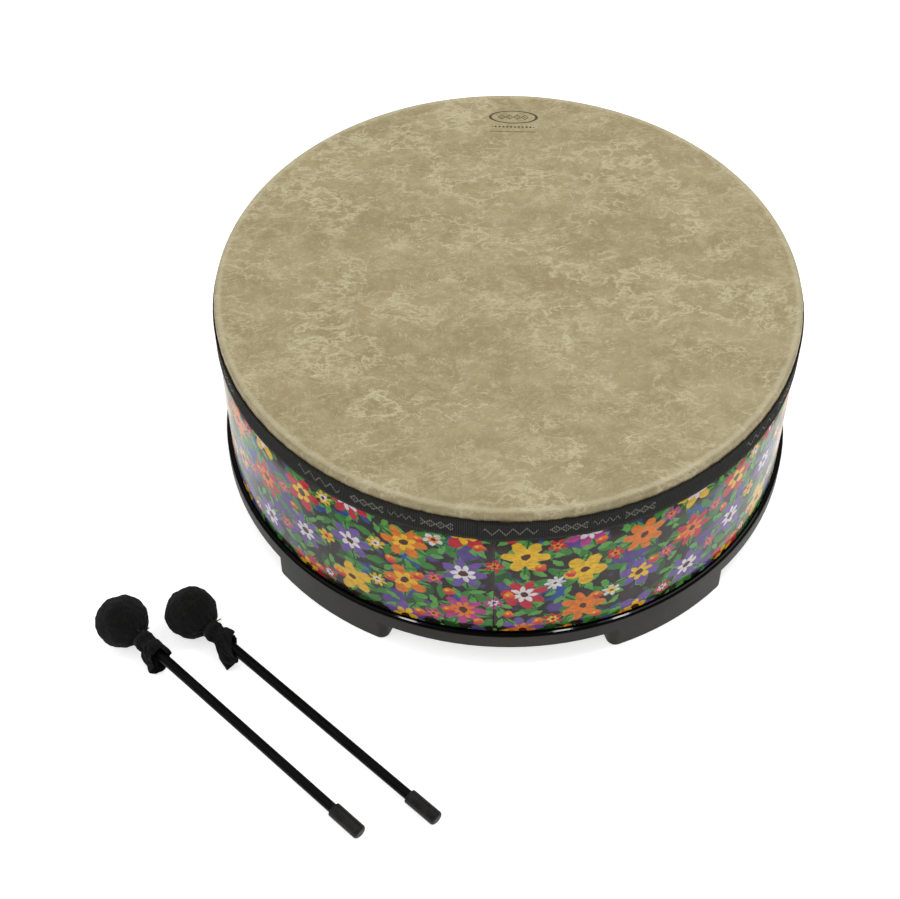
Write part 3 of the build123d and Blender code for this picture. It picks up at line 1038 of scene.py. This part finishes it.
thread, tree, shader = start_material("thread", {"Specular IOR Level": 0.3, "Roughness": 0.6})
place = object_millimetres(tree)
twist = put(tree, "TexWave", {"Vector": place, "Scale": 0.6, "Distortion": 2.0, "Detail": 1.0}).outputs["Fac"]
finish_shader(
    tree, shader, coat(tree, twist, colour(14, 14, 14), colour(44, 44, 42)),
    normal=bump(tree, twist, 0.6, 0.0002),
)
print("fleece and thread ready")

# %% [markdown]
# ## Where each mallet lies
#
# A mallet is easiest to build lying along its own x axis, with the ball's middle at zero, and then to
# carry into place. The ball core's box gives the middle, and the end cap's box gives the direction.

# %% Mallet frames
def mallet_frame(side):
    """A matrix from a mallet's own axes, with x along its rod, to the studio; and its core's radius."""
    core_low, core_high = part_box(f"mallet_{side}_ball_core")
    cap_low, cap_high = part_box(f"mallet_{side}_end_cap")
    core_radius = (core_high.z - core_low.z) / 2
    middle = Vector((core_low.x + core_radius, core_high.y - core_radius, core_high.z - core_radius))
    along = ((cap_low + cap_high) / 2 - middle).normalized()
    across = Vector((0, 0, 1)).cross(along).normalized()
    turn = Matrix((along, across, along.cross(across))).transposed().to_4x4()
    return Matrix.Translation(middle) @ turn, core_radius


for side in ("left", "right"):
    placed, core_radius = mallet_frame(side)
    print(side, "ball at", [round(c, 4) for c in placed.translation], f"core radius {core_radius / MM:.1f} mm")

# %% [markdown]
# ## The fleece ball
#
# The cover is a tube of fleece pulled over the ball. It is smooth over the ball and gathered into small
# pleats where it narrows to the neck. We spin half of the ball's outline round the rod's axis, and then
# push the points in and out: broad lumps, pleats near the neck, and a fine nap all over.

# %% Fleece balls
BALL_RADIUS = 25.4 * MM
NECK_RADIUS = 8.2 * MM
NECK_END = 28.4 * MM
BALL_ARCS = 90
BALL_STEPS = 176
FLEECE_WALL = 2.6 * MM
LUMP = 1.7 * MM
PLEAT = 0.7 * MM
NAP = 0.32 * MM
PLEAT_COUNT = 13
GATHER_FROM = 0.62 * BALL_RADIUS

NECK_START = sqrt(BALL_RADIUS ** 2 - NECK_RADIUS ** 2)
neck_angle = atan2(NECK_RADIUS, NECK_START)
ball_outline = []
for k in range(BALL_ARCS + 1):
    angle = pi - k / BALL_ARCS * (pi - neck_angle)
    ball_outline.append((BALL_RADIUS * sin(angle), BALL_RADIUS * cos(angle)))
for k in range(1, 6):
    ball_outline.append((NECK_RADIUS, NECK_START + k / 5 * (NECK_END - NECK_START)))

for number, side in enumerate(("left", "right")):
    placed, core_radius = mallet_frame(side)
    ball = spin_outline(ball_outline, BALL_STEPS, (1, 0, 0))
    for vert in ball.verts:
        out = vert.co.normalized()
        seat = out + Vector((7 * number, 0, 0))
        lump = noise.noise(1.7 * seat) + 0.5 * noise.noise(4.3 * seat)
        nap_height = noise.noise(24 * seat) + 0.6 * noise.noise(47 * seat)
        gather = min(1, max(0, (vert.co.x - GATHER_FROM) / (NECK_START - GATHER_FROM)))
        pleat_phase = PLEAT_COUNT * atan2(vert.co.z, vert.co.y) + 3 * noise.noise(3 * seat)
        pleat = gather * gather * (cos(pleat_phase) - 0.4)
        on_ball = 1 - gather
        pleat_height = PLEAT * pleat * (1 - 0.55 * (gather > 0.98))
        vert.co += out * (LUMP * (lump - 0.35) * on_ball + NAP * (nap_height - 0.5) + pleat_height)
    bmesh.ops.transform(ball, matrix=placed, verts=ball.verts)
    cover = finish_piece(
        f"fleece_ball_{side}", ball, f"mallet_{side}", fleece, [f"mallet_{side}_ball_cover"]
    )
    thicken(cover, FLEECE_WALL, -1)

# %% [markdown]
# ## The thread tie
#
# Two turns of waxed thread hold the cover at the neck. A small circle spun twice round the rod's axis,
# while it moves along by a thread's width each turn, makes both turns at once. A flattened ball is the
# knot, and two short quarter turns of thread are the ends that were left when it was cut.

# %% Thread ties
THREAD_RADIUS = 0.55 * MM
THREAD_SIDES = 10
KNOT_RADIUS = 1.9 * MM
TIE_RADIUS = 8.9 * MM
TIE_AT = 26.3 * MM
TIE_TURNS = 2
TIE_STEPS = 100
TIE_PITCH = 1.2 * MM
KNOT_BEARING = {"left": radians(70), "right": radians(50)}


def thread_circle(mesh, centre, across, up):
    """A circle of thread's thickness, facing along the cross product of two directions."""
    angles = [k * tau / THREAD_SIDES for k in range(THREAD_SIDES)]
    points = [mesh.verts.new(centre + THREAD_RADIUS * (cos(a) * across + sin(a) * up)) for a in angles]
    return points + [mesh.edges.new((points[k - 1], points[k])) for k in range(THREAD_SIDES)]


for side, bearing in KNOT_BEARING.items():
    placed, core_radius = mallet_frame(side)
    tie = bmesh.new()
    out = Vector((0, cos(bearing), sin(bearing)))
    start = thread_circle(tie, TIE_RADIUS * out + Vector((TIE_AT, 0, 0)), out, Vector((1, 0, 0)))
    bmesh.ops.spin(
        tie, geom=start, axis=(1, 0, 0), cent=(0, 0, 0), angle=TIE_TURNS * tau,
        steps=TIE_STEPS, dvec=(TIE_PITCH * TIE_TURNS / TIE_STEPS, 0, 0), use_merge=False,
    )
    sideways = Vector((1, 0, 0)).cross(out)
    for lean, end_at in ((0.5, 0.0), (-0.9, TIE_PITCH)):
        arm = sideways * (1 if lean > 0 else -1)
        foot = TIE_RADIUS * out + Vector((TIE_AT + end_at, 0, 0))
        end = thread_circle(tie, foot, Vector((1, 0, 0)), arm.cross(Vector((1, 0, 0))))
        bmesh.ops.spin(
            tie, geom=end, axis=Vector((1, 0, 0)) * (1 if lean > 0 else -1), cent=foot + 7 * MM * out * 0.9,
            angle=radians(62), steps=12, dvec=(lean * 0.35 * MM, 0, 0), use_merge=False,
        )
    knot = bmesh.ops.create_icosphere(tie, subdivisions=3, radius=KNOT_RADIUS)["verts"]
    bmesh.ops.scale(tie, verts=knot, vec=(1.0, 0.75, 0.75))
    for vert in knot:
        vert.co *= 1 + 0.16 * noise.noise(900 * vert.co)
    bmesh.ops.translate(tie, verts=knot, vec=(TIE_RADIUS + 0.6 * MM) * out + Vector((TIE_AT + TIE_PITCH, 0, 0)))
    bmesh.ops.holes_fill(tie, edges=[edge for edge in tie.edges if edge.is_boundary], sides=THREAD_SIDES)
    bmesh.ops.recalc_face_normals(tie, faces=tie.faces)
    bmesh.ops.transform(tie, matrix=placed, verts=tie.verts)
    finish_piece(f"thread_tie_{side}", tie, f"mallet_{side}", thread, [f"mallet_{side}_neck_tie"])

# %% [markdown]
# ## The loose tails
#
# Past the tie the fleece tube flares out, falls over the rod and lies on the floor in folds. No outline
# describes that, so we let it fall: a pleated cone of cloth, held only at the neck, drops under gravity
# onto a stand-in rod and floor. Cloth is solved ten times larger than life, because the solver's
# distances suit things the size of a shirt, and the result is shrunk back. A slight sideways pull, not the
# same for both, stands for the way each mallet was laid down.

# %% Tail sizes
TAIL_START = 28.0 * MM
TAIL_LENGTH = {"left": 31.0 * MM, "right": 34.0 * MM}
TAIL_NECK_RADIUS = 8.0 * MM
TAIL_END_RADIUS = 17.2 * MM
TAIL_PLEAT = {"left": 3.2 * MM, "right": 1.6 * MM}
TAIL_PLEATS = {"left": 5, "right": 3}
TAIL_FLAP = {"left": (0.10, 1.0), "right": (0.24, -3.6)}
TAIL_SQUASH = {"left": (1.05, 0.95), "right": (1.4, 0.75)}
TAIL_COLUMNS = 60
TAIL_ROWS = 12
TAIL_WALL = 1.3 * MM
ROD_RADIUS = 4.75 * MM
CLOTH_SCALE = 10.0
CLOTH_FRAMES = 26
FLEECE_CLOTH = {
    "quality": 7, "mass": 0.3, "tension_stiffness": 14, "compression_stiffness": 14,
    "bending_stiffness": 4.0, "air_damping": 2.0, "vertex_group_mass": "tied",
}
TAIL_SWEEP = {"left": (-3.0, -4.5), "right": (-2.0, -3.0)}


def pleated_cone(number, side):
    """The tail before it falls, in the mallet's own axes: a flat strip rolled up, with growing pleats."""
    length, squash, flap = TAIL_LENGTH[side], TAIL_SQUASH[side], TAIL_FLAP[side]
    mesh = flat_strip(tau, length, TAIL_COLUMNS, TAIL_ROWS)
    for vert in mesh.verts:
        angle, down = vert.co.x, vert.co.y / length
        radius = TAIL_NECK_RADIUS + (TAIL_END_RADIUS - TAIL_NECK_RADIUS) * (1 - max(0, 1 - down) ** 2.6)
        uneven = 1 + 0.35 * sin(2 * angle + 2.1 * number)
        radius += TAIL_PLEAT[side] * down * uneven * cos(TAIL_PLEATS[side] * angle + 1.3 * number + 0.8 * down)
        reach = length * down * (1 + flap[0] * cos(angle + flap[1]) + 0.05 * sin(3 * angle))
        squashed = [1 + (share - 1) * down for share in squash]
        vert.co = (TAIL_START + reach, squashed[0] * radius * cos(angle), squashed[1] * radius * sin(angle))
    bmesh.ops.remove_doubles(mesh, verts=mesh.verts, dist=1e-6)
    bmesh.ops.recalc_face_normals(mesh, faces=mesh.faces)
    return mesh


def stand_in(name, mesh):
    """Something for the cloth to fall onto, which is removed afterwards."""
    thing = add_object(name, mesh_data(name, mesh))
    thing.modifiers.new("collision", "COLLISION")
    thing.collision.thickness_outer = 0.004
    thing.collision.cloth_friction = 12
    return thing


def let_fall(data, tied, placed, sweep):
    """Drops the cloth onto a rod and a floor, and gives its final mesh, all in studio metres."""
    scene = bpy.context.scene
    rod_mesh = bmesh.new()
    bmesh.ops.create_cone(
        rod_mesh, cap_ends=True, segments=32, radius1=ROD_RADIUS, radius2=ROD_RADIUS, depth=0.12
    )
    lie = placed @ Matrix.Translation((0.06, 0, 0)) @ Matrix.Rotation(pi / 2, 4, "Y")
    bmesh.ops.transform(rod_mesh, matrix=Matrix.Scale(CLOTH_SCALE, 4) @ lie, verts=rod_mesh.verts)
    ground_mesh = bmesh.new()
    bmesh.ops.create_grid(ground_mesh, x_segments=4, y_segments=4, size=2.0)
    spot = placed.translation * CLOTH_SCALE
    bmesh.ops.translate(ground_mesh, verts=ground_mesh.verts, vec=(spot.x, spot.y, 0.008))
    helpers = [stand_in("cloth_rod", rod_mesh), stand_in("cloth_ground", ground_mesh)]
    data.transform(Matrix.Scale(CLOTH_SCALE, 4))
    cloth = add_object("falling_cloth", data)
    cloth.vertex_groups.new(name="tied").add(tied, 1.0, "REPLACE")
    fall = cloth.modifiers.new("fall", "CLOTH")
    for name, setting in FLEECE_CLOTH.items():
        setattr(fall.settings, name, setting)
    fall.collision_settings.distance_min = 0.006
    fall.collision_settings.collision_quality = 4
    fall.collision_settings.use_self_collision = True
    fall.collision_settings.self_distance_min = 0.010
    fall.point_cache.frame_start = 1
    fall.point_cache.frame_end = CLOTH_FRAMES
    scene.gravity = (*sweep, -9.81)
    for step in range(1, CLOTH_FRAMES + 1):
        scene.frame_set(step)
    fallen = bpy.data.meshes.new_from_object(cloth.evaluated_get(bpy.context.evaluated_depsgraph_get()))
    fallen.transform(Matrix.Scale(1 / CLOTH_SCALE, 4))
    for thing in [cloth, *helpers]:
        bpy.data.objects.remove(thing)
    scene.frame_set(1)
    scene.gravity = (0, 0, -9.81)
    return fallen


# %% Tails
for number, (side, sweep) in enumerate(TAIL_SWEEP.items()):
    placed, core_radius = mallet_frame(side)
    cone = pleated_cone(number, side)
    cone.verts.index_update()
    tied = [vert.index for vert in cone.verts if vert.co.x < TAIL_START + 1.5 * TAIL_LENGTH[side] / TAIL_ROWS]
    bmesh.ops.transform(cone, matrix=placed, verts=cone.verts)
    tail_data = mesh_data(f"fleece_tail_{side}", cone)
    tail_data = let_fall(tail_data, tied, placed, sweep)
    tail = finish_piece(
        f"fleece_tail_{side}", tail_data, f"mallet_{side}", fleece, [f"mallet_{side}_cover_tail"]
    )
    thicken(tail, TAIL_WALL, 0, even=False)
    rounding = tail.modifiers.new("rounding", "SUBSURF")
    rounding.levels = rounding.render_levels = 2
    heights = [vert.co.z for vert in tail.data.vertices]
    print(f"tail {side}: {min(heights) / MM:.1f} to {max(heights) / MM:.1f} mm above the floor")
